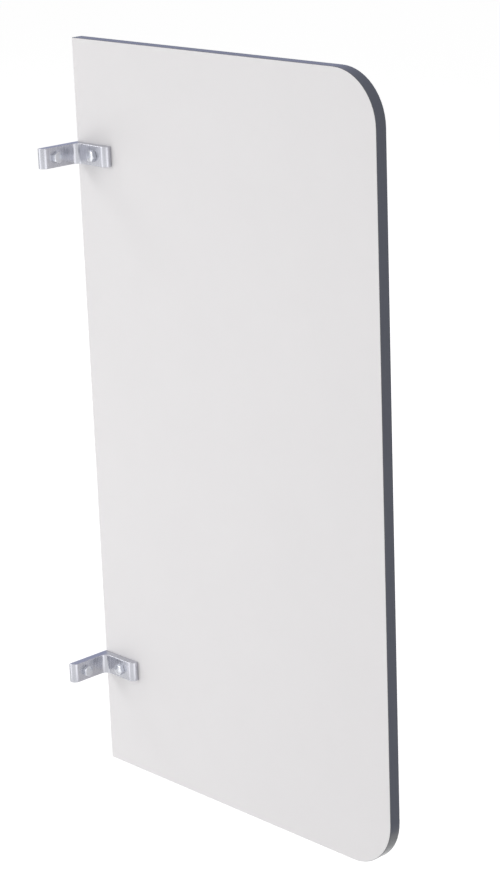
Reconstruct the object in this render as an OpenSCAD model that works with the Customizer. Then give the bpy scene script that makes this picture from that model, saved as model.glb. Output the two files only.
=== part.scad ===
// Urinal privacy screen: a compact-laminate panel held off the wall by two angle brackets.
// The origin lies on the wall plane, midway between the two wall bolts.
// +X runs out from the wall, +Z is up, and the panel's front face looks along -Y.

/* [Panel] */
// Width of the panel, from the wall to its free edge
panel_width = 400; // [250:10:600]
// Height of the panel
panel_height = 750; // [500:10:1200]
// Thickness of the whole laminate, with both decor faces
panel_thickness = 13; // [10:0.5:20]
// Radius of the two corners on the free edge
corner_radius = 50; // [10:5:100]
// Thickness of each white decor face
decor_thickness = 0.2; // [0.1:0.05:0.8]
// Width of the 45 degree arris round both faces
panel_arris = 0.5; // [0.2:0.1:1]

/* [Brackets] */
// Length of the leg that lies on the panel, from the wall plane
panel_leg = 50; // [46:1:80]
// Length of the leg that lies on the wall, from the panel's front face
wall_leg = 50; // [46:1:80]
// Thickness of both legs
leg_thickness = 8; // [5:0.5:10]
// Length that each bracket is cut to, up the panel
bracket_height = 20; // [18:1:40]
// Radius of the rounded toe at the end of each leg
toe_radius = 6; // [1:0.5:7]
// Radius of the fillet inside the angle
root_radius = 6; // [1:0.5:8]
// Distance from the panel's top or bottom edge to the nearer edge of a bracket
bracket_inset = 100; // [40:5:150]

/* [Bolt places] */
// Distance from the wall plane to the panel bolts
panel_bolt_offset = 32; // [26:1:37]
// Distance from the panel's front face to the wall bolts
wall_bolt_offset = 34; // [26:1:37]

/* [Bolts and nuts] */
// Outside diameter of the thread on every bolt
thread_diameter = 6; // [5.5:0.5:8]
// Diameter of the plain shank between head and thread, thinner than the thread as rolled bolts are
shank_diameter = 5.4; // [4.8:0.1:5.4]
// Width across the flats of the bolt heads and cap nuts
across_flats = 10; // [10:0.5:13]
// Height of a bolt head
head_height = 5; // [3:0.5:6]
// Turn of the panel bolts' heads, as they were left when tightened
head_turn = -10; // [-30:5:30]
// Length of bolt that stands out past the wall plane, for the anchor in the wall
wall_reach = 12; // [8:1:40]
// Length of thread on a panel bolt, which starts inside the panel so that the nut pulls tight
panel_bolt_thread = 12; // [10.5:0.5:18]
// Length of that thread held in the cap nut
nut_engagement = 7.4; // [5:0.2:7.8]
// Depth of the thread in the cap nut
nut_thread_depth = 8; // [8:0.5:9]
// Height of the cap nut's hexagon
nut_hex_height = 5; // [4:0.5:6]
// Height of the whole cap nut
cap_nut_height = 12; // [11:0.5:15]
// Outside diameter of the washer under a cap nut
washer_diameter = 12; // [11.5:0.5:18]
// Thickness of that washer
washer_thickness = 1.6; // [1:0.2:2.5]
// Chamfer at the tip of a bolt
tip_chamfer = 0.7; // [0.3:0.1:1]

/* [Clearances] */
// Gap all round a bolt in a bracket, panel or washer hole
bolt_clearance = 0.3; // [0.1:0.1:0.8]
// Gap all round a bolt thread in its nut
thread_clearance = 0.05; // [0.02:0.01:0.1]

/* [Hidden] */
// Slope of the chamfer on the corners of a hexagon
hex_chamfer_angle = 30;
// How far a hexagon's chamfer circle, and the cap nut's dome, lie inside the flats
hex_chamfer_inset = 0.25;
// Least flat that the rounding of a toe leaves on the end of its leg
toe_flat = 1;
// How far a cutting tool runs past the face it cuts
overrun = 1;
// Segments in a full turn
$fn = 96;

decor_colour = "#E4E3E5";
core_colour = "#54575E";
bracket_colour = "#BFC0CC";
steel_colour = "#CACCD4";

// The panel's faces, with the wall bolts on the plane y = 0
front_y = wall_bolt_offset;
rear_y = front_y + panel_thickness;
// Height of each bracket's middle above or below the origin
bracket_z = panel_height / 2 - bracket_inset - bracket_height / 2;

// Rounding of the toes, which a thin leg limits
toe = min(toe_radius, leg_thickness - toe_flat);
hole_radius = thread_diameter / 2 + bolt_clearance;
hex_corner_radius = across_flats / 2 / cos(30);
hex_chamfer_radius = across_flats / 2 - hex_chamfer_inset;
panel_bolt_length = leg_thickness + panel_thickness + washer_thickness + nut_engagement;
wall_bolt_length = leg_thickness + wall_reach;

// ---- Panel -------------------------------------------------------------

// Section across the sheet: as long as asked, as deep as the panel, its four corners cut at 45 degrees
module arris_section(length) {
    polygon([
        [panel_arris, 0], [length - panel_arris, 0],
        [length, panel_arris], [length, panel_thickness - panel_arris],
        [length - panel_arris, panel_thickness], [panel_arris, panel_thickness],
        [0, panel_thickness - panel_arris], [0, panel_arris]
    ]);
}

// Square-cornered sheet from y = 0 back, with an arris along its four edges on both faces
module arris_sheet() {
    intersection() {
        translate([0, 0, -panel_height / 2]) linear_extrude(panel_height) arris_section(panel_width);
        translate([0, 0, panel_height / 2]) rotate([0, 90, 0])
            linear_extrude(panel_width) arris_section(panel_height);
    }
}

// Quarter of a disc with the same arris, for the rounded corner above the sheet's middle
module arris_corner() {
    translate([panel_width - corner_radius, 0, panel_height / 2 - corner_radius])
        rotate([90, 0, 0]) mirror([0, 0, 1])
            rotate_extrude(angle = 90) polygon([
                [0, 0], [corner_radius - panel_arris, 0], [corner_radius, panel_arris],
                [corner_radius, panel_thickness - panel_arris],
                [corner_radius - panel_arris, panel_thickness], [0, panel_thickness]
            ]);
}

// The block that a rounded corner takes the place of
module corner_block() {
    translate([panel_width - corner_radius, -overrun, panel_height / 2 - corner_radius])
        cube([corner_radius + overrun, panel_thickness + 2 * overrun, corner_radius + overrun]);
}

// Whole laminate, drilled for the two panel bolts
module laminate() {
    translate([0, front_y, 0]) difference() {
        union() {
            difference() {
                arris_sheet();
                corner_block();
                mirror([0, 0, 1]) corner_block();
            }
            arris_corner();
            mirror([0, 0, 1]) arris_corner();
        }
        for (side = [-1, 1])
            translate([panel_bolt_offset, panel_thickness + overrun, side * bracket_z]) rotate([90, 0, 0])
                cylinder(h = panel_thickness + 2 * overrun, r = hole_radius);
    }
}

// One layer of the laminate, between two depths behind its front face
module laminate_layer(from_depth, to_depth) {
    intersection() {
        laminate();
        translate([-overrun, front_y + from_depth, -panel_height / 2 - overrun])
            cube([panel_width + 2 * overrun, to_depth - from_depth, panel_height + 2 * overrun]);
    }
}

module panel_core() {
    color(core_colour) laminate_layer(decor_thickness, panel_thickness - decor_thickness);
}

module front_decor_face() {
    color(decor_colour) laminate_layer(0, decor_thickness);
}

module rear_decor_face() {
    color(decor_colour) laminate_layer(panel_thickness - decor_thickness, panel_thickness);
}

// ---- Brackets ----------------------------------------------------------

// What rounding a corner at [0, 0], with its stock towards -x and +y, takes away
module toe_offcut() {
    difference() {
        translate([-toe, -overrun]) square(toe + overrun);
        translate([-toe, toe]) circle(r = toe);
    }
}

// Section of the angle: its heel at [0, 0], one leg along +x and the other along -y
module angle_section() {
    difference() {
        union() {
            translate([0, -leg_thickness]) square([panel_leg, leg_thickness]);
            translate([0, -wall_leg]) square([leg_thickness, wall_leg]);
            translate([leg_thickness, -leg_thickness - root_radius]) square(root_radius);
        }
        translate([leg_thickness + root_radius, -leg_thickness - root_radius]) circle(r = root_radius);
        translate([panel_leg, -leg_thickness]) toe_offcut();
        translate([leg_thickness, -wall_leg]) toe_offcut();
    }
}

// A length of angle with one bolt hole in each leg, at the given side of the origin
module bracket(side) {
    color(bracket_colour) translate([0, 0, side * bracket_z]) difference() {
        translate([0, front_y, -bracket_height / 2]) linear_extrude(bracket_height) angle_section();
        translate([-overrun, 0, 0]) rotate([0, 90, 0])
            cylinder(h = leg_thickness + 2 * overrun, r = hole_radius);
        translate([panel_bolt_offset, front_y + overrun, 0]) rotate([90, 0, 0])
            cylinder(h = leg_thickness + 2 * overrun, r = hole_radius);
    }
}

module upper_bracket() {
    bracket(1);
}

module lower_bracket() {
    bracket(-1);
}

// ---- Bolts, washers and nuts -------------------------------------------

// Hexagonal prism on z = 0 whose corners are chamfered round its top
module hexagon(height) {
    chamfer_drop = (hex_corner_radius - hex_chamfer_radius) * tan(hex_chamfer_angle);
    intersection() {
        cylinder(h = height, r = hex_corner_radius, $fn = 6);
        rotate_extrude() polygon([
            [0, 0], [hex_corner_radius, 0], [hex_corner_radius, height - chamfer_drop],
            [hex_chamfer_radius, height], [0, height]
        ]);
    }
}

// Bolt with its head standing on z = 0; below lie its plain shank, then its thread, chamfered at the tip
module hex_bolt(bolt_length, thread_length) {
    thread_start = bolt_length - thread_length;
    color(steel_colour) union() {
        hexagon(head_height);
        mirror([0, 0, 1]) rotate_extrude() polygon([
            [0, 0], [shank_diameter / 2, 0], [shank_diameter / 2, thread_start],
            [thread_diameter / 2, thread_start], [thread_diameter / 2, bolt_length - tip_chamfer],
            [thread_diameter / 2 - tip_chamfer, bolt_length], [0, bolt_length]
        ]);
    }
}

// Bolt through the wall leg: its head is on the side away from the wall, its thread starts at the wall
module wall_bolt(side) {
    translate([leg_thickness, 0, side * bracket_z]) rotate([0, 90, 0]) hex_bolt(wall_bolt_length, wall_reach);
}

// Bolt through the panel leg and the panel, its head on the bracket
module panel_bolt(side) {
    translate([panel_bolt_offset, front_y - leg_thickness, side * bracket_z]) rotate([90, 0, 0])
        rotate([0, 0, head_turn]) hex_bolt(panel_bolt_length, panel_bolt_thread);
}

// Plain washer against the panel's rear face
module rear_washer(side) {
    color(steel_colour)
        translate([panel_bolt_offset, rear_y, side * bracket_z]) rotate([-90, 0, 0]) difference() {
            cylinder(h = washer_thickness, d = washer_diameter);
            translate([0, 0, -overrun]) cylinder(h = washer_thickness + 2 * overrun, r = hole_radius);
        }
}

// Domed nut on that washer, closed over the end of the panel bolt
module cap_nut(side) {
    dome_radius = hex_chamfer_radius;
    color(steel_colour)
        translate([panel_bolt_offset, rear_y + washer_thickness, side * bracket_z]) rotate([-90, 0, 0])
            difference() {
                union() {
                    hexagon(nut_hex_height);
                    cylinder(h = cap_nut_height - dome_radius, r = dome_radius);
                    translate([0, 0, cap_nut_height - dome_radius]) sphere(r = dome_radius);
                }
                translate([0, 0, -overrun])
                    cylinder(h = nut_thread_depth + overrun, r = thread_diameter / 2 + thread_clearance);
            }
}

module upper_wall_bolt() {
    wall_bolt(1);
}

module lower_wall_bolt() {
    wall_bolt(-1);
}

module upper_panel_bolt() {
    panel_bolt(1);
}

module lower_panel_bolt() {
    panel_bolt(-1);
}

module upper_rear_washer() {
    rear_washer(1);
}

module lower_rear_washer() {
    rear_washer(-1);
}

module upper_cap_nut() {
    cap_nut(1);
}

module lower_cap_nut() {
    cap_nut(-1);
}

panel_core();
front_decor_face();
rear_decor_face();
upper_bracket();
lower_bracket();
upper_wall_bolt();
lower_wall_bolt();
upper_panel_bolt();
lower_panel_bolt();
upper_rear_washer();
lower_rear_washer();
upper_cap_nut();
lower_cap_nut();
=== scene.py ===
"""Finished pieces, materials and studio of a urinal privacy screen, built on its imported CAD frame.

A white compact-laminate panel stands out from the wall on two lengths of aluminium angle.
Lengths are in metres. The origin is on the wall plane, midway between the two wall bolts;
+X runs out from the wall, the panel's front face looks along -Y, and +Z is up.
"""

import math

import bmesh
import bpy
from mathutils import Matrix, Vector


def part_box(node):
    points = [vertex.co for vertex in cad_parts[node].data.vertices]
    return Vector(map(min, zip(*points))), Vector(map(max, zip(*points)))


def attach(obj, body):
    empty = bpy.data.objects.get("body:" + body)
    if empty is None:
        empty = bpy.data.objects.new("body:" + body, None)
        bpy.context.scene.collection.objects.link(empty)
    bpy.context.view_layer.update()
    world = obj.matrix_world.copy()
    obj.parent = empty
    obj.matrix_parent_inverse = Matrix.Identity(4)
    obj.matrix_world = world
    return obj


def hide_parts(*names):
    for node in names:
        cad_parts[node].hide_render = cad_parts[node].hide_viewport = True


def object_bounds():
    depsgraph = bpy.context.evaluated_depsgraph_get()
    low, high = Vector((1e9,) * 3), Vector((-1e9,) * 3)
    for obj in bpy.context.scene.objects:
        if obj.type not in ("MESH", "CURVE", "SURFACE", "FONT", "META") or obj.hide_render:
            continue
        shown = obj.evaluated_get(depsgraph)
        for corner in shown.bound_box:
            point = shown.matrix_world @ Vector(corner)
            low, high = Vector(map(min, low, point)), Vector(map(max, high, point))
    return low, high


bl_info = {
    "name": "Urinal Privacy Screen",
    "version": (1, 0, 0),
    "blender": (4, 5, 0),
    "location": "3D View > Sidebar > Privacy Screen",
    "description": "Builds the finished pieces, materials and studio of a urinal privacy screen",
    "category": "Add Mesh",
}

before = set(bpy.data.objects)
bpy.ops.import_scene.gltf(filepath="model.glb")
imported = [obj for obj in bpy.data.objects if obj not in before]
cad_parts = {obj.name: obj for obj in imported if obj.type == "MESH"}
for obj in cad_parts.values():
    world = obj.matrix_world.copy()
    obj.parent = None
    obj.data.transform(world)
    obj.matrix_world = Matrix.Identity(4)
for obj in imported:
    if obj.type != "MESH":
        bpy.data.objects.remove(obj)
cad_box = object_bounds()

BODY = "root"
MM = 0.001
SIDES = ("upper", "lower")
# Points round a hexagon: those on each rounded corner, and those between two corners
CORNER_POINTS = 5
FLAT_POINTS = 7
# Hexagons are chamfered at 30 degrees
CHAMFER_SLOPE = math.tan(math.radians(30))
OUT_FROM_WALL = Vector((1, 0, 0))
TO_FRONT = Vector((0, -1, 0))
TO_REAR = Vector((0, 1, 0))
WHITE = (1, 1, 1)


def srgb(code):
    """Linear colour of an sRGB hex code."""
    parts = [int(code[i:i + 2], 16) / 255 for i in (1, 3, 5)]
    return [c / 12.92 if c <= 0.04045 else ((c + 0.055) / 1.055) ** 2.4 for c in parts]


def box_size(node):
    """Size of a CAD node's box along X, Y and Z."""
    low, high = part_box(node)
    return high - low


def box_middle(node):
    """Middle of a CAD node's box."""
    low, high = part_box(node)
    return (low + high) / 2


# ---- Settings ----------------------------------------------------------------

BRACKET_SIZE = box_size("upper_bracket")
HEAD_HEIGHT = 5 * MM
LEG_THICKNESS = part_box("upper_bracket")[1].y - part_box("upper_panel_bolt")[0].y - HEAD_HEIGHT


def length(name, description, default, **more):
    """Length property in metres, shown in the scene's units."""
    return bpy.props.FloatProperty(name=name, description=description, default=default, min=0,
                                   precision=5, subtype="DISTANCE", unit="LENGTH", **more)


def colour(name, description, code):
    """Colour property with an sRGB hex code as its default."""
    return bpy.props.FloatVectorProperty(name=name, description=description, default=srgb(code),
                                         size=3, min=0, max=1, subtype="COLOR")


class PanelSettings(bpy.types.PropertyGroup):
    decor_colour: colour("Decor", "Colour of the white faces", "#E5E3E4")
    core_colour: colour("Core", "Colour of the machined core along the edges", "#595B60")
    pearl_pitch: length("Pearl Pitch", "Distance between bumps of the pressed pearl finish",
                        1.6 * MM)
    layer_pitch: length("Layer Pitch", "Thickness of one paper layer as drawn on the edge",
                        0.9 * MM)


class BracketSettings(bpy.types.PropertyGroup):
    metal_colour: colour("Metal", "Colour of the anodised aluminium", "#C0C1C8")
    panel_leg: length("Panel Leg", "Leg that lies on the panel, from the wall plane",
                      BRACKET_SIZE.x)
    wall_leg: length("Wall Leg", "Leg that lies on the wall, from the panel's face", BRACKET_SIZE.y)
    thickness: length("Thickness", "Thickness of both legs", LEG_THICKNESS)
    height: length("Height", "Length that the angle is cut to", BRACKET_SIZE.z)
    toe_radius: length("Toe Radius", "Rounding at the end of each leg", 6 * MM)
    root_radius: length("Root Radius", "Fillet inside the angle", 6 * MM)
    corner_radius: length("Corner Radius",
                          "Softened corners of the section that lie on wall and panel", 0.8 * MM)
    rim_radius: length("Rim Radius", "Softened rim of the sawn ends", 0.7 * MM)
    hole_radius: length("Hole Radius", "Radius of the bolt holes", 3.3 * MM)
    hole_chamfer: length("Hole Chamfer", "Chamfer at the mouth of the holes", 0.3 * MM)


class FastenerSettings(bpy.types.PropertyGroup):
    steel_colour: colour("Steel", "Colour of the stainless steel", "#D0D2D8")
    across_flats: length("Across Flats", "Width of heads and nuts across the flats", 10 * MM)
    corner_rounding: length("Corner Rounding", "Rounding of a hexagon's upright corners", 0.25 * MM)
    chamfer_inset: length("Chamfer Inset", "How far the chamfer circle lies inside the flats",
                          0.25 * MM)
    head_height: length("Head Height", "Height of a bolt head", HEAD_HEIGHT)
    head_crown: length("Head Crown",
                       "How far the middle of a head stands above its chamfer circle", 0.45 * MM)
    wall_turn: bpy.props.FloatProperty(
        name="Wall Turn", description="Turn of the wall bolts' heads, with corners up and down",
        default=math.radians(90), subtype="ANGLE", unit="ROTATION")
    panel_turn: bpy.props.FloatProperty(
        name="Panel Turn", description="Turn of the panel bolts' heads, as left when tightened",
        default=math.radians(-10), subtype="ANGLE", unit="ROTATION")
    thread_diameter: length("Thread Diameter", "Outside diameter of the thread", 6 * MM)
    thread_pitch: length("Thread Pitch", "Distance between two turns of the thread", 1 * MM)
    shank_diameter: length("Shank Diameter", "Diameter of the rolled shank under the head",
                           5.4 * MM)
    wall_thread: length("Wall Thread", "Length of thread that stands past the wall plane", 12 * MM)
    panel_thread: length("Panel Thread", "Length of thread on a panel bolt", 12 * MM)
    tip_chamfer: length("Tip Chamfer", "Chamfer at the tip of a bolt", 0.7 * MM)
    washer_bore: length("Washer Bore", "Radius of the hole in a washer", 3.3 * MM)
    nut_hex_height: length("Nut Hexagon", "Height of a cap nut's hexagon", 5 * MM)
    nut_bore: length("Nut Bore", "Radius of the hole in a cap nut", 3.05 * MM)
    nut_bore_depth: length("Nut Bore Depth", "Depth of the hole in a cap nut", 8 * MM)


class StudioSettings(bpy.types.PropertyGroup):
    floor_colour: colour("Floor", "Colour of the floor", "#DCDCDC")
    floor_drop: length("Floor Drop", "Height of the panel's lower edge above the floor", 450 * MM)
    camera_place: bpy.props.FloatVectorProperty(
        name="Camera Place", description="Where the camera stands", size=3,
        default=(1.81444, -1.44860, 0.67533), subtype="TRANSLATION", unit="LENGTH")
    camera_azimuth: bpy.props.FloatProperty(
        name="Azimuth", description="Turn of the camera round the screen, 0 in front of the panel",
        default=math.radians(46.918), subtype="ANGLE", unit="ROTATION")
    camera_elevation: bpy.props.FloatProperty(
        name="Elevation", description="How far the camera looks down",
        default=math.radians(16.911), subtype="ANGLE", unit="ROTATION")
    camera_roll: bpy.props.FloatProperty(
        name="Roll", description="How far the camera leans to one side",
        default=math.radians(-2.134), subtype="ANGLE", unit="ROTATION")
    lens: bpy.props.FloatProperty(
        name="Lens", description="Focal length for a 36 mm picture height, in millimetres",
        default=99.044, min=1)
    sky_level: bpy.props.FloatProperty(
        name="Sky Level", description="Even light from all round, where 1 is white",
        default=0.605, min=0)
    key_power: bpy.props.FloatProperty(
        name="Key Power", description="Power of the lamp in front, in watts", default=86, min=0)
    rim_power: bpy.props.FloatProperty(
        name="Rim Power", description="Power of the lamp above the wall side, in watts",
        default=28, min=0)
    front_power: bpy.props.FloatProperty(
        name="Front Power", description="Power of the soft box in front of the screen, in watts",
        default=5.5, min=0)
    side_power: bpy.props.FloatProperty(
        name="Side Power", description="Power of the soft box to the left, in watts",
        default=9, min=0)
    back_power: bpy.props.FloatProperty(
        name="Back Power", description="Power of the lamp behind the screen, in watts",
        default=80, min=0)
    card_colour: colour("Card", "Colour of the cards that upper faces and the panel's edge mirror",
                        "#A8ADCB")


# ---- Material making ---------------------------------------------------------


def add_node(tree, kind, settings=None, **sockets):
    """Add a node. Settings are its own properties. A socket takes a value, or (node, output) to
    link, and is named in the call with _ for a space, or s0, s1 ... by its place."""
    node = tree.nodes.new(kind)
    for name, value in (settings or {}).items():
        setattr(node, name, value)
    for name, value in sockets.items():
        key = int(name[1:]) if name[0] == "s" and name[1:].isdigit() else name.replace("_", " ")
        if isinstance(value, tuple) and isinstance(value[0], bpy.types.Node):
            tree.links.new(value[0].outputs[value[1]], node.inputs[key])
        else:
            node.inputs[key].default_value = value
    return node


def new_material(name):
    """Empty node material and its tree."""
    material = bpy.data.materials.new(name)
    material.use_nodes = True
    material.node_tree.nodes.clear()
    return material, material.node_tree


def stretched_coordinates(tree, spacing, turn=0.0):
    """Object coordinates scaled so that one unit is the given spacing in metres along each axis."""
    place = add_node(tree, "ShaderNodeTexCoord")
    return add_node(tree, "ShaderNodeMapping", Vector=(place, "Object"), Rotation=(0, 0, turn),
                    Scale=tuple(1 / s for s in spacing))


def shade_between(tree, fac, low, high):
    """Colour that runs from low to high with a grey pattern."""
    return add_node(tree, "ShaderNodeMix", {"data_type": "RGBA"}, s0=fac,
                    s6=(*low, 1), s7=(*high, 1))


def scaled(colour_value, factor):
    return [c * factor for c in colour_value]


def melamine_decor(settings):
    """Melamine-resin decor sheet, pressed on a fine pearl plate: an even, almost neutral white
    whose pearl bumps break the reflection into a soft matt sheen."""
    material, tree = new_material("melamine decor sheet, pearl pressed")
    base = list(settings.decor_colour)
    # The printed paper under the resin is very slightly cloudy, in patches of about 60 mm
    cloud = add_node(tree, "ShaderNodeTexNoise", Detail=3.0, Scale=1.0,
                     Vector=(stretched_coordinates(tree, (0.06,) * 3), "Vector"))
    tint = shade_between(tree, (cloud, "Fac"), scaled(base, 0.985), scaled(base, 1.01))
    # Real pearl bumps are about 0.4 mm apart; they are drawn four times coarser so that they show
    pearl = add_node(tree, "ShaderNodeTexNoise", Detail=1.0, Scale=1.0,
                     Vector=(stretched_coordinates(tree, (settings.pearl_pitch,) * 3), "Vector"))
    bumps = add_node(tree, "ShaderNodeBump", Height=(pearl, "Fac"), Strength=0.25,
                     Distance=0.1 * MM)
    gloss = add_node(tree, "ShaderNodeMapRange", Value=(pearl, "Fac"), To_Min=0.42, To_Max=0.52)
    surface = add_node(tree, "ShaderNodeBsdfPrincipled", Base_Color=(tint, 2), Roughness=(gloss, 0),
                       Normal=(bumps, 0), IOR=1.5)
    add_node(tree, "ShaderNodeOutputMaterial", Surface=(surface, 0))
    return material


def phenolic_core(settings):
    """Phenolic-resin kraft core, edge-milled: a dark slate edge with fine paper layers along it and
    the faint ripple of the cutter across it."""
    material, tree = new_material("phenolic kraft core, milled edge")
    base = list(settings.core_colour)
    # Layers of paper are about 0.25 mm thick and are drawn coarser, so that they show
    layer = settings.layer_pitch
    layers = add_node(tree, "ShaderNodeTexNoise", Detail=2.0, Scale=1.0,
                      Vector=(stretched_coordinates(tree, (0.08, layer, 0.08)), "Vector"))
    tint = shade_between(tree, (layers, "Fac"), scaled(base, 0.86), scaled(base, 1.14))
    # A milling cutter leaves a ripple every 1 mm or so across the thickness
    ripple = add_node(tree, "ShaderNodeTexNoise", Detail=1.0, Scale=1.0,
                      Vector=(stretched_coordinates(tree, (1.2 * MM, 0.05, 1.2 * MM)), "Vector"))
    bumps = add_node(tree, "ShaderNodeBump", Height=(ripple, "Fac"), Strength=0.3,
                     Distance=0.05 * MM)
    gloss = add_node(tree, "ShaderNodeMapRange", Value=(layers, "Fac"), To_Min=0.16, To_Max=0.24)
    surface = add_node(tree, "ShaderNodeBsdfPrincipled", Base_Color=(tint, 2), Roughness=(gloss, 0),
                       Normal=(bumps, 0), IOR=1.6)
    add_node(tree, "ShaderNodeOutputMaterial", Surface=(surface, 0))
    return material


def anodised_aluminium(name, settings, lines, turn, rough, line_depth):
    """Satin-anodised aluminium: a soft cool grey metal. Lines are the spacings of its working
    marks along X, Y and Z, and line_depth is their depth; they pull highlights out across them."""
    material, tree = new_material(name)
    base = list(settings.metal_colour)
    marks = add_node(tree, "ShaderNodeTexNoise", Detail=2.0, Scale=1.0,
                     Vector=(stretched_coordinates(tree, lines, turn), "Vector"))
    # The caustic etch before anodising leaves a fine even grain, drawn at 0.5 mm
    etch = add_node(tree, "ShaderNodeTexNoise", Detail=1.0, Scale=1.0,
                    Vector=(stretched_coordinates(tree, (0.5 * MM,) * 3), "Vector"))
    tint = shade_between(tree, (marks, "Fac"), scaled(base, 0.98), scaled(base, 1.02))
    grain = add_node(tree, "ShaderNodeBump", Height=(etch, "Fac"), Strength=0.1,
                     Distance=0.01 * MM)
    bumps = add_node(tree, "ShaderNodeBump", Height=(marks, "Fac"), Strength=0.08,
                     Distance=line_depth, Normal=(grain, 0))
    gloss = add_node(tree, "ShaderNodeMapRange", Value=(marks, "Fac"), To_Min=rough - 0.02,
                     To_Max=rough + 0.02)
    surface = add_node(tree, "ShaderNodeBsdfPrincipled", Base_Color=(tint, 2), Metallic=1.0,
                       Roughness=(gloss, 0), Normal=(bumps, 0))
    add_node(tree, "ShaderNodeOutputMaterial", Surface=(surface, 0))
    return material


def extruded_aluminium(settings):
    """Extruded face: die lines run up the bracket, about 0.6 mm apart."""
    return anodised_aluminium("aluminium, extruded and satin anodised", settings,
                              (0.6 * MM, 0.6 * MM, 0.05), 0.0, 0.27, 0.005 * MM)


def sawn_aluminium(settings):
    """Sawn end, a little duller: parallel saw marks about 0.5 mm apart lie slantwise over it."""
    return anodised_aluminium("aluminium, sawn and satin anodised", settings,
                              (0.5 * MM, 0.03, 0.03), math.radians(35), 0.36, 0.015 * MM)


def stainless_steel(settings):
    """Stainless steel, cold-headed, turned and tumbled: a bright neutral metal with a satin sheen
    and fine rings round its axis."""
    material, tree = new_material("stainless steel, cold headed and turned")
    base = list(settings.steel_colour)
    place = add_node(tree, "ShaderNodeTexCoord")
    flat = add_node(tree, "ShaderNodeVectorMath", {"operation": "MULTIPLY"}, s0=(place, "Object"),
                    s1=(1, 1, 0))
    radius = add_node(tree, "ShaderNodeVectorMath", {"operation": "LENGTH"}, s0=(flat, 0))
    # Turning leaves a ring about every 0.15 mm; they are drawn at 0.4 mm so that they show
    steps = add_node(tree, "ShaderNodeMath", {"operation": "DIVIDE"}, s0=(radius, "Value"),
                     s1=0.4 * MM)
    rings = add_node(tree, "ShaderNodeTexNoise", {"noise_dimensions": "1D"}, W=(steps, 0),
                     Scale=1.0, Detail=1.0)
    tumbled = add_node(tree, "ShaderNodeTexNoise", Detail=2.0, Scale=1.0,
                       Vector=(stretched_coordinates(tree, (0.8 * MM,) * 3), "Vector"))
    tint = shade_between(tree, (tumbled, "Fac"), scaled(base, 0.95), scaled(base, 1.05))
    bumps = add_node(tree, "ShaderNodeBump", Height=(rings, "Fac"), Strength=0.3,
                     Distance=0.01 * MM)
    gloss = add_node(tree, "ShaderNodeMapRange", Value=(tumbled, "Fac"), To_Min=0.22, To_Max=0.28)
    surface = add_node(tree, "ShaderNodeBsdfPrincipled", Base_Color=(tint, 2), Metallic=1.0,
                       Roughness=(gloss, 0), Normal=(bumps, 0))
    add_node(tree, "ShaderNodeOutputMaterial", Surface=(surface, 0))
    return material


# ---- Mesh making -------------------------------------------------------------


def finished_object(name, bm, materials, sharp_angle=30):
    """Turn a bmesh into a smooth-shaded object whose edges past the given angle stay crisp."""
    bmesh.ops.recalc_face_normals(bm, faces=bm.faces)
    for face in bm.faces:
        face.smooth = True
    mesh = bpy.data.meshes.new(name)
    bm.to_mesh(mesh)
    bm.free()
    for material in materials:
        mesh.materials.append(material)
    mesh.set_sharp_from_angle(angle=math.radians(sharp_angle))
    made = bpy.data.objects.new(name, mesh)
    bpy.context.scene.collection.objects.link(made)
    return made


def stand_for(piece, node):
    """Put a finished piece on the part in place of its CAD node."""
    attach(piece, BODY)
    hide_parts(node)


def loft(rings, closed=False):
    """Skin rings of points that match one to one; the two ends are capped, or joined if closed."""
    bm = bmesh.new()
    made = [[bm.verts.new(point) for point in row] for row in rings]
    pairs = list(zip(made, made[1:]))
    if closed:
        pairs.append((made[-1], made[0]))
    else:
        bm.faces.new(made[0])
        bm.faces.new(made[-1])
    for low, high in pairs:
        for i in range(len(low)):
            j = (i + 1) % len(low)
            bm.faces.new((low[i], low[j], high[j], high[i]))
    return bm


def hexagon_points(across_flats, rounding):
    """Points round a hexagon with rounded corners, as (angle, radius) pairs."""
    centre = (across_flats / 2 - rounding) / math.cos(math.radians(30))
    plan = []
    for corner in range(6):
        turn = math.radians(60 * corner)
        for k in range(CORNER_POINTS):
            lean = turn + math.radians(60 * k / (CORNER_POINTS - 1) - 30)
            plan.append(Vector((centre * math.cos(turn) + rounding * math.cos(lean),
                                centre * math.sin(turn) + rounding * math.sin(lean))))
    points = []
    for i, point in enumerate(plan):
        points.append(point)
        if i % CORNER_POINTS == CORNER_POINTS - 1:
            after = plan[(i + 1) % len(plan)]
            points += [point.lerp(after, (k + 1) / (FLAT_POINTS + 1))
                       for k in range(FLAT_POINTS)]
    return [(math.atan2(p.y, p.x), p.length) for p in points]


def ring(angles, radius, height):
    """Ring of points; radius and height are numbers, or functions of a point's place in it."""
    points = []
    for i, angle in enumerate(angles):
        r = radius(i) if callable(radius) else radius
        z = height(i) if callable(height) else height
        points.append(Vector((r * math.cos(angle), r * math.sin(angle), z)))
    return points


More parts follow.
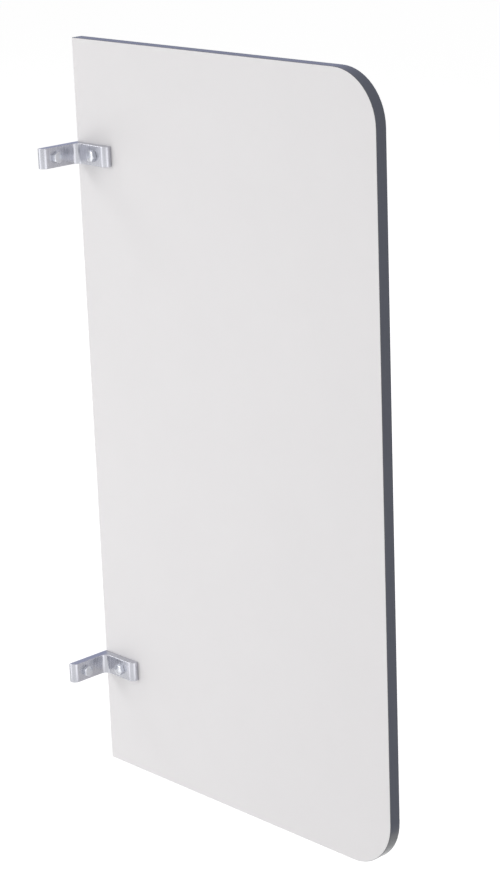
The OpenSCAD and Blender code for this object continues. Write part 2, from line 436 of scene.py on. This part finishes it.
def thread_rings(angles, start, end, settings):
    """Rings down a screw thread from height start to the lower height end. They follow the helix,
    so that crests and roots stay crisp, and are pinched onto the two end planes."""
    pitch = settings.thread_pitch
    crest, shank = settings.thread_diameter / 2, settings.shank_diameter / 2
    # A metric thread is 0.613 of its pitch deep
    depth = 0.613 * pitch
    run_out_slope = 1.2
    # One turn's profile: share of the pitch, share of the depth
    profile = ((0.0, 0.0), (0.125, 0.0), (0.4375, 1.0), (0.6875, 1.0), (1.0, 0.0))

    def radius_at(turns, z):
        share = turns % 1.0
        for (a, da), (b, db) in zip(profile, profile[1:]):
            if a <= share <= b:
                cut = da + (db - da) * (share - a) / (b - a)
                break
        r = crest - depth * cut
        r = min(r, crest - settings.tip_chamfer + (z - end))
        return min(r, shank + (start - z) * run_out_slope) if start - z < pitch else r

    rings = []
    whole_turns = range(-1, math.ceil((start - end) / pitch) + 1)
    for step in (whole + share for whole in whole_turns for share, _ in profile[:-1]):
        row = []
        for angle in angles:
            part_turn = (angle % (2 * math.pi)) / (2 * math.pi)
            z = min(start, max(end, start - (step + part_turn) * pitch))
            r = radius_at((start - z) / pitch - part_turn, z)
            row.append(Vector((r * math.cos(angle), r * math.sin(angle), z)))
        rings.append(row)
    return rings


# ---- Brackets ----------------------------------------------------------------


def angle_outline(settings, inset):
    """Outline of the angle section, moved inwards by inset, and where each straight side starts.
    The heel is at (0, 0); one leg runs along +x and the other along -y."""
    t, small = settings.thickness, settings.corner_radius
    small_steps, toe_steps, root_steps = 6, 16, 14
    # Corner, radius, steps round it, and 1 where it points outwards or -1 inwards
    corners = [
        (Vector((0, 0)), small, small_steps, 1),
        (Vector((0, -settings.wall_leg)), small, small_steps, 1),
        (Vector((t, -settings.wall_leg)), settings.toe_radius, toe_steps, 1),
        (Vector((t, -t)), settings.root_radius, root_steps, -1),
        (Vector((settings.panel_leg, -t)), settings.toe_radius, toe_steps, 1),
        (Vector((settings.panel_leg, 0)), small, small_steps, 1),
    ]
    points, side_starts = [], []
    for i, (corner, radius, steps, outward) in enumerate(corners):
        coming = (corner - corners[i - 1][0]).normalized()
        going = (corners[(i + 1) % len(corners)][0] - corner).normalized()
        centre = corner + radius * (going - coming)
        reach = radius - outward * inset
        for k in range(steps + 1):
            a = math.pi / 2 * k / steps
            points.append(centre + reach * (coming * math.sin(a) - going * math.cos(a)))
        side_starts.append(len(points) - 1)
    return points, side_starts


def drilled_side(bm, corners, circle):
    """Fill a four-cornered side of the bracket round the mouth of its hole."""
    edges = [bm.edges.get((a, b)) or bm.edges.new((a, b))
             for loop in (corners, circle) for a, b in zip(loop, loop[1:] + loop[:1])]
    bmesh.ops.triangle_fill(bm, edges=edges, use_beauty=True)


def build_bracket(name, node, settings, materials):
    """Length of angle with softened rims and one chamfered bolt hole in each leg."""
    low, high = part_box(node)
    heel = Vector((low.x, high.y, (low.z + high.z) / 2))
    half, rim = settings.height / 2, settings.rim_radius
    rim_steps = 5
    levels = []
    for k in range(rim_steps + 1):
        a = math.pi / 2 * k / rim_steps
        levels.append((rim * (1 - math.sin(a)), -half + rim * (1 - math.cos(a))))
    levels += [(inset, -z) for inset, z in reversed(levels)]
    bm = bmesh.new()
    rings = []
    for inset, z in levels:
        outline, side_starts = angle_outline(settings, inset)
        rings.append([bm.verts.new(heel + Vector((p.x, p.y, z))) for p in outline])
    count = len(rings[0])
    # Back and front side of each drilled leg
    wall_sides = side_starts[0], side_starts[2]
    panel_sides = side_starts[5], side_starts[3]
    middle = rim_steps
    for level, (below, above) in enumerate(zip(rings, rings[1:])):
        for i in range(count):
            if level == middle and i in wall_sides + panel_sides:
                continue
            j = (i + 1) % count
            bm.faces.new((below[i], below[j], above[j], above[i]))
    for sawn_end in (rings[0], rings[-1]):
        bm.faces.new(sawn_end).material_index = 1
    wall_hole = box_middle(node.replace("bracket", "wall_bolt"))
    panel_hole = box_middle(node.replace("bracket", "panel_bolt"))
    t, r, chamfer = settings.thickness, settings.hole_radius, settings.hole_chamfer
    holes = (
        (Vector((heel.x, wall_hole.y, wall_hole.z)), OUT_FROM_WALL, TO_REAR, wall_sides),
        (Vector((panel_hole.x, heel.y, panel_hole.z)), TO_FRONT, OUT_FROM_WALL, panel_sides),
    )
    turn_steps = 48
    for start, along, across, sides in holes:
        circles = []
        for depth, radius in ((0, r + chamfer), (chamfer, r), (t - chamfer, r), (t, r + chamfer)):
            circle = []
            for k in range(turn_steps):
                a = 2 * math.pi * k / turn_steps
                circle.append(bm.verts.new(start + along * depth + radius * (
                    across * math.cos(a) + Vector((0, 0, 1)) * math.sin(a))))
            circles.append(circle)
        for inner, outer in zip(circles, circles[1:]):
            for k in range(turn_steps):
                m = (k + 1) % turn_steps
                bm.faces.new((inner[k], inner[m], outer[m], outer[k]))
        for side, circle in zip(sides, (circles[0], circles[-1])):
            after = (side + 1) % count
            corners = [rings[middle][side], rings[middle][after],
                       rings[middle + 1][after], rings[middle + 1][side]]
            drilled_side(bm, corners, circle)
    stand_for(finished_object(name, bm, materials), node)


# ---- Bolts, washers and nuts -------------------------------------------------


def hexagon_head_rings(settings, height, plan):
    """Rings of a bolt head from its top down to its washer face, the underside at height 0."""
    angles = [a for a, _ in plan]
    flat = settings.across_flats / 2
    circle = flat - settings.chamfer_inset
    washer_face, face_height = flat * 0.92, 0.25 * MM
    crown, crown_steps = settings.head_crown, 6
    rim = height - crown
    rings = [ring(angles, circle * k / crown_steps, height - crown * (k / crown_steps) ** 2)
             for k in range(1, crown_steps + 1)]
    return rings + [
        ring(angles, lambda i: plan[i][1], lambda i: rim - (plan[i][1] - circle) * CHAMFER_SLOPE),
        ring(angles, lambda i: plan[i][1], face_height),
        ring(angles, washer_face, face_height),
        ring(angles, washer_face, 0.0),
    ]


def build_bolt(name, node, settings, material, placing, shank_length, thread_length):
    """Hexagon bolt on its own axis: head above height 0, rolled shank, then a screw thread."""
    plan = hexagon_points(settings.across_flats, settings.corner_rounding)
    angles = [a for a, _ in plan]
    shank = settings.shank_diameter / 2
    under_head = 0.3 * MM
    rings = hexagon_head_rings(settings, settings.head_height, plan)
    rings += [ring(angles, shank + under_head, 0.0), ring(angles, shank, -under_head),
              ring(angles, shank, -shank_length)]
    rings += thread_rings(angles, -shank_length, -shank_length - thread_length, settings)
    bm = loft(rings)
    # The pinched rings of the thread leave doubled points and slivers
    bmesh.ops.remove_doubles(bm, verts=bm.verts, dist=0.002 * MM)
    bmesh.ops.dissolve_degenerate(bm, edges=bm.edges, dist=0.001 * MM)
    piece = finished_object(name, bm, [material])
    piece.matrix_world = placing
    stand_for(piece, node)


def build_washer(name, node, settings, material, placing, thickness, outer):
    """Stamped washer: its edges are rounded by tumbling."""
    inner = settings.washer_bore
    soft, soft_steps = 0.25 * MM, 3
    outline = []
    for x, z, start in ((outer, 0, -90), (outer, thickness, 0),
                        (inner, thickness, 90), (inner, 0, 180)):
        cx = x - soft if x == outer else x + soft
        cz = z - soft if z else soft
        for k in range(soft_steps + 1):
            a = math.radians(start + 90 * k / soft_steps)
            outline.append((cx + soft * math.cos(a), cz + soft * math.sin(a)))
    turn_steps = 72
    angles = [2 * math.pi * k / turn_steps for k in range(turn_steps)]
    bm = loft([ring(angles, r, z) for r, z in outline], closed=True)
    piece = finished_object(name, bm, [material], sharp_angle=40)
    piece.matrix_world = placing
    stand_for(piece, node)


def build_cap_nut(name, node, settings, material, placing, height):
    """Domed nut: blind bore, hexagon chamfered at both ends, neck and dome."""
    plan = hexagon_points(settings.across_flats, settings.corner_rounding)
    angles = [a for a, _ in plan]
    circle = settings.across_flats / 2 - settings.chamfer_inset
    hexagon = settings.nut_hex_height
    bore, depth = settings.nut_bore, settings.nut_bore_depth
    countersink = 0.4 * MM
    neck = circle - 0.15 * MM
    dome_centre, dome_steps = height - circle, 14
    rings = [
        ring(angles, bore, depth),
        ring(angles, bore, countersink),
        ring(angles, bore + countersink, 0.0),
        ring(angles, circle, 0.0),
        ring(angles, lambda i: plan[i][1], lambda i: (plan[i][1] - circle) * CHAMFER_SLOPE),
        ring(angles, lambda i: plan[i][1],
             lambda i: hexagon - (plan[i][1] - circle) * CHAMFER_SLOPE),
        ring(angles, circle, hexagon),
        ring(angles, neck, hexagon + 0.1 * MM),
        ring(angles, neck, hexagon + 0.3 * MM),
        ring(angles, circle, hexagon + 0.5 * MM),
    ]
    for k in range(dome_steps):
        a = math.pi / 2 * k / dome_steps
        rings.append(ring(angles, circle * math.cos(a), dome_centre + circle * math.sin(a)))
    piece = finished_object(name, loft(rings), [material])
    piece.matrix_world = placing
    stand_for(piece, node)


def turned_frame(origin, axis, turn=0.0):
    """Placing whose local +Z runs along axis; a hexagon's corners lie level, then turn about it."""
    side = Vector((0, 0, 1)).cross(axis)
    axes = Matrix((side, axis.cross(side), axis)).transposed().to_4x4()
    return Matrix.Translation(origin) @ axes @ Matrix.Rotation(turn, 4, "Z")


def rear_placing(node):
    """Placing of a piece behind the panel, with its axis to the rear, and the piece's height."""
    low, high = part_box(node)
    middle = box_middle(node)
    return turned_frame(Vector((middle.x, low.y, middle.z)), TO_REAR), high.y - low.y


# ---- Lamps and cards of the studio -------------------------------------------

# Lamps: name, setting that holds the power, place, size, and whether metal mirrors it
LAMPS = (
    ("key_lamp", "key_power", (-2.8, -6.0, 2.6), (2.6, 2.6), True),
    ("rim_lamp", "rim_power", (-3.5, -1.5, 3.3), (1.2, 1.2), True),
    ("front_soft_box", "front_power", (1.6, -2.6, -0.1), (4.2, 1.4), False),
    ("side_soft_box", "side_power", (-1.4, -1.2, -0.35), (1.6, 0.9), False),
    ("back_lamp", "back_power", (0.6, 4.4, 1.8), (2.4, 2.4), False),
)

# Cards that only gloss mirrors: name, level, whether it has the card colour or is white, corners
FLAT_CARDS = (
    ("rear_card", 1.0, True,
     ((-3.2, 1.8, -0.8), (2.6, 1.8, -0.8), (2.6, 1.8, 2.9), (-3.2, 1.8, 2.9))),
    ("right_floor_card", 1.0, True,
     ((0.6, 0.33, -0.81), (0.7, 0.21, -0.81), (2.57, 1.29, -0.81), (1.8, 2.11, -0.81))),
    ("left_floor_card", 0.85, False,
     ((-0.56, -0.2, -0.81), (-1.22, -0.44, -0.81), (-0.84, -1.0, -0.81), (-0.39, -0.46, -0.81))),
)

# Upright cards round the screen: two bright strips, a grey card beyond the wall side, a flag over
# it, and one that is mirrored only by way of a second surface, to lighten the inside of the angle.
# Name, level, azimuth in degrees from +X towards +Y, distance, half width, lower end, upper end,
# and whether it is the one for the inside
UPRIGHT_CARDS = (
    ("left_strip", 1.85, -122, 1.1, 0.24, -0.82, 0.75, False),
    ("right_strip", 1.7, -10, 1.1, 0.37, -0.82, 0.3, False),
    ("left_grey_card", 0.75, -147, 1.3, 0.3, -0.82, 0.3, False),
    ("flag", 0.1, -140, 2.3, 0.5, 0.35, 1.6, False),
    ("inner_card", 1.45, -40, 1.3, 0.6, -0.3, 0.35, True),
)


# ---- Operators ---------------------------------------------------------------


class PRIVACYSCREEN_OT_panel(bpy.types.Operator):
    """Finish the laminate panel: its core edge and its two decor faces"""

    bl_idname = "privacy_screen.panel"
    bl_label = "Finish Panel"

    def execute(self, context):
        settings = context.scene.screen_panel
        decor = melamine_decor(settings)
        core = phenolic_core(settings)
        for node, material in (("panel_core", core), ("front_decor_face", decor),
                               ("rear_decor_face", decor)):
            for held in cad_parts[node].material_slots:
                held.material = material
        return {"FINISHED"}


class PRIVACYSCREEN_OT_brackets(bpy.types.Operator):
    """Build the two angle brackets"""

    bl_idname = "privacy_screen.brackets"
    bl_label = "Build Brackets"

    def execute(self, context):
        settings = context.scene.screen_brackets
        materials = [extruded_aluminium(settings), sawn_aluminium(settings)]
        for side in SIDES:
            build_bracket(f"{side}_angle_bracket", f"{side}_bracket", settings, materials)
        return {"FINISHED"}


class PRIVACYSCREEN_OT_fasteners(bpy.types.Operator):
    """Build the bolts, washers and cap nuts"""

    bl_idname = "privacy_screen.fasteners"
    bl_label = "Build Fasteners"

    def execute(self, context):
        settings = context.scene.screen_fasteners
        steel = stainless_steel(settings)
        for side in SIDES:
            node = f"{side}_wall_bolt"
            low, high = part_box(node)
            middle = box_middle(node)
            seat = high.x - settings.head_height
            placing = turned_frame(Vector((seat, middle.y, middle.z)), OUT_FROM_WALL,
                                   settings.wall_turn)
            build_bolt(f"{side}_wall_hex_bolt", node, settings, steel, placing,
                       seat - low.x - settings.wall_thread, settings.wall_thread)
            node = f"{side}_panel_bolt"
            low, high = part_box(node)
            middle = box_middle(node)
            seat = low.y + settings.head_height
            placing = turned_frame(Vector((middle.x, seat, middle.z)), TO_FRONT,
                                   settings.panel_turn)
            build_bolt(f"{side}_panel_hex_bolt", node, settings, steel, placing,
                       high.y - seat - settings.panel_thread, settings.panel_thread)
            node = f"{side}_rear_washer"
            placing, thickness = rear_placing(node)
            build_washer(f"{side}_plain_washer", node, settings, steel, placing, thickness,
                         box_size(node).z / 2)
            node = f"{side}_cap_nut"
            placing, height = rear_placing(node)
            build_cap_nut(f"{side}_domed_nut", node, settings, steel, placing, height)
        return {"FINISHED"}


class PRIVACYSCREEN_OT_studio(bpy.types.Operator):
    """Build the floor, lamps, world and camera"""

    bl_idname = "privacy_screen.studio"
    bl_label = "Build Studio"

    def execute(self, context):
        scene = context.scene
        settings = scene.screen_studio
        scene.view_settings.view_transform = "Standard"
        self.build_world(scene, settings)
        self.build_floor(settings)
        for name, power, place, size, mirrored in LAMPS:
            self.build_lamp(scene, name, getattr(settings, power), place, size, mirrored)
        for name, level, tinted, corners in FLAT_CARDS:
            self.build_card(name, level, corners, settings.card_colour if tinted else WHITE)
        for card in UPRIGHT_CARDS:
            self.build_upright_card(*card)
        self.build_camera(scene, settings)
        return {"FINISHED"}

    def build_world(self, scene, settings):
        world = bpy.data.worlds.new("studio sky")
        scene.world = world
        world.use_nodes = True
        tree = world.node_tree
        tree.nodes.clear()
        seen = self.seen_directly(tree)
        level = add_node(tree, "ShaderNodeMapRange", Value=(seen, 0), To_Min=settings.sky_level,
                         To_Max=1.0)
        light = add_node(tree, "ShaderNodeBackground", Color=(1, 1, 1, 1), Strength=(level, 0))
        add_node(tree, "ShaderNodeOutputWorld", Surface=(light, 0))
        # The sky's level differs by kind of ray, so it is found by the rays themselves
        world.cycles.sampling_method = "NONE"

    def seen_directly(self, tree):
        """1 where the camera, a gloss or something clear looks at the background, else 0."""
        path = add_node(tree, "ShaderNodeLightPath")
        first = add_node(tree, "ShaderNodeMath", {"operation": "MAXIMUM"},
                         s0=(path, "Is Camera Ray"), s1=(path, "Is Glossy Ray"))
        return add_node(tree, "ShaderNodeMath", {"operation": "MAXIMUM"},
                        s0=(first, 0), s1=(path, "Is Transmission Ray"))

    def build_floor(self, settings):
        material, tree = new_material("studio floor, matt painted board")
        seen = self.seen_directly(tree)
        # The lamps fall off between 1.2 and 3 m from the wall bolts, and this makes up for it, so
        # that the floor is just white
        place = add_node(tree, "ShaderNodeTexCoord")
        away = add_node(tree, "ShaderNodeVectorMath", {"operation": "LENGTH"}, s0=(place, "Object"))
        level = add_node(tree, "ShaderNodeMapRange", {"interpolation_type": "SMOOTHSTEP"},
                         Value=(away, "Value"), From_Min=1.2, From_Max=3.0, To_Min=0.4, To_Max=0.55)
        glow = add_node(tree, "ShaderNodeMath", {"operation": "MULTIPLY"}, s0=(seen, 0),
                        s1=(level, 0))
        paint = add_node(tree, "ShaderNodeBsdfDiffuse", Color=(*settings.floor_colour, 1))
        lift = add_node(tree, "ShaderNodeEmission", Strength=(glow, 0))
        both = add_node(tree, "ShaderNodeAddShader", s0=(paint, 0), s1=(lift, 0))
        add_node(tree, "ShaderNodeOutputMaterial", Surface=(both, 0))
        bm = bmesh.new()
        height, reach = cad_box[0].z - settings.floor_drop, 12
        corners = ((-reach, -reach), (reach, -reach), (reach, reach), (-reach, reach))
        bm.faces.new([bm.verts.new((x, y, height)) for x, y in corners])
        finished_object("studio_floor", bm, [material])

    def build_lamp(self, scene, name, power, place, size, mirrored):
        """Soft box aimed at the screen. The camera doesn't see it, and metal does if mirrored."""
        lamp = bpy.data.lights.new(name, "AREA")
        lamp.shape = "RECTANGLE"
        lamp.size, lamp.size_y = size
        lamp.energy = power
        holder = bpy.data.objects.new(name, lamp)
        scene.collection.objects.link(holder)
        place, target = Vector(place), Vector((0.1, 0.0, 0.0))
        holder.matrix_world = Matrix.Translation(place) @ (
            (target - place).to_track_quat("-Z", "Y").to_matrix().to_4x4())
        holder.visible_camera = False
        holder.visible_glossy = mirrored

    def build_card(self, name, level, corners, colour_value, inside_only=False):
        """Glowing card, not a lamp: its colour and level are light it gives off, seen only in the
        metal and in gloss, or only by way of a second surface of them, so it paints bright or dark
        reflections into them and lights no matt surface."""
        material, tree = new_material(f"{name}, matt painted board")
        # The card's colour is painted light that it gives off at its level; it is not a board lit by
        # the lamps
        paint = add_node(tree, "ShaderNodeEmission", Color=(*colour_value, 1), Strength=level)
        if inside_only:
            path = add_node(tree, "ShaderNodeLightPath")
            second = add_node(tree, "ShaderNodeMath", {"operation": "GREATER_THAN"},
                              s0=(path, "Ray Depth"), s1=1.5)
            clear = add_node(tree, "ShaderNodeBsdfTransparent")
            paint = add_node(tree, "ShaderNodeMixShader", s0=(second, 0), s1=(clear, 0),
                             s2=(paint, 0))
        add_node(tree, "ShaderNodeOutputMaterial", Surface=(paint, 0))
        bm = bmesh.new()
        bm.faces.new([bm.verts.new(corner) for corner in corners])
        card = finished_object(name, bm, [material])
        card.visible_camera = card.visible_diffuse = card.visible_transmission = False
        card.visible_shadow = False

    def build_upright_card(self, name, level, azimuth, distance, half_width, low, high,
                           inside_only):
        """White upright card that faces the wall bolts."""
        turn = math.radians(azimuth)
        out = Vector((math.cos(turn), math.sin(turn), 0))
        middle, across = out * distance, Vector((-out.y, out.x, 0)) * half_width
        corners = [middle + across * side + Vector((0, 0, z))
                   for side, z in ((-1, low), (1, low), (1, high), (-1, high))]
        self.build_card(name, level, corners, WHITE, inside_only)

    def build_camera(self, scene, settings):
        azimuth, elevation = settings.camera_azimuth, settings.camera_elevation
        back = Vector((math.sin(azimuth) * math.cos(elevation),
                       -math.cos(azimuth) * math.cos(elevation), math.sin(elevation)))
        camera = bpy.data.cameras.new("photo camera")
        camera.sensor_width = 36
        camera.lens = settings.lens
        camera.clip_start, camera.clip_end = 0.05, 60
        holder = bpy.data.objects.new("photo_camera", camera)
        scene.collection.objects.link(holder)
        lean = Matrix.Rotation(settings.camera_roll, 4, "Z")
        holder.matrix_world = Matrix.Translation(Vector(settings.camera_place)) @ (
            (-back).to_track_quat("-Z", "Y").to_matrix().to_4x4()) @ lean
        scene.camera = holder


class PRIVACYSCREEN_PT_sidebar(bpy.types.Panel):
    """Lists what the screen is built from"""

    bl_label = "Privacy Screen"
    bl_idname = "PRIVACYSCREEN_PT_sidebar"
    bl_space_type = "VIEW_3D"
    bl_region_type = "UI"
    bl_category = "Privacy Screen"

    def draw(self, context):
        for label, settings, operator in LISTED:
            box = self.layout.box()
            box.label(text=label)
            group = getattr(context.scene, settings)
            for name in group.__annotations__:
                box.prop(group, name)
            box.operator(operator)


LISTED = (
    ("Panel", "screen_panel", "privacy_screen.panel"),
    ("Brackets", "screen_brackets", "privacy_screen.brackets"),
    ("Fasteners", "screen_fasteners", "privacy_screen.fasteners"),
    ("Studio", "screen_studio", "privacy_screen.studio"),
)

SETTINGS = {
    "screen_panel": PanelSettings,
    "screen_brackets": BracketSettings,
    "screen_fasteners": FastenerSettings,
    "screen_studio": StudioSettings,
}

CLASSES = (
    *SETTINGS.values(),
    PRIVACYSCREEN_OT_panel,
    PRIVACYSCREEN_OT_brackets,
    PRIVACYSCREEN_OT_fasteners,
    PRIVACYSCREEN_OT_studio,
    PRIVACYSCREEN_PT_sidebar,
)


def register():
    for made in CLASSES:
        bpy.utils.register_class(made)
    for name, kind in SETTINGS.items():
        setattr(bpy.types.Scene, name, bpy.props.PointerProperty(type=kind))


def unregister():
    for name in SETTINGS:
        delattr(bpy.types.Scene, name)
    for made in reversed(CLASSES):
        bpy.utils.unregister_class(made)


def main():
    register()
    bpy.ops.privacy_screen.panel()
    bpy.ops.privacy_screen.brackets()
    bpy.ops.privacy_screen.fasteners()
    bpy.ops.privacy_screen.studio()


if __name__ == "__main__":
    main()
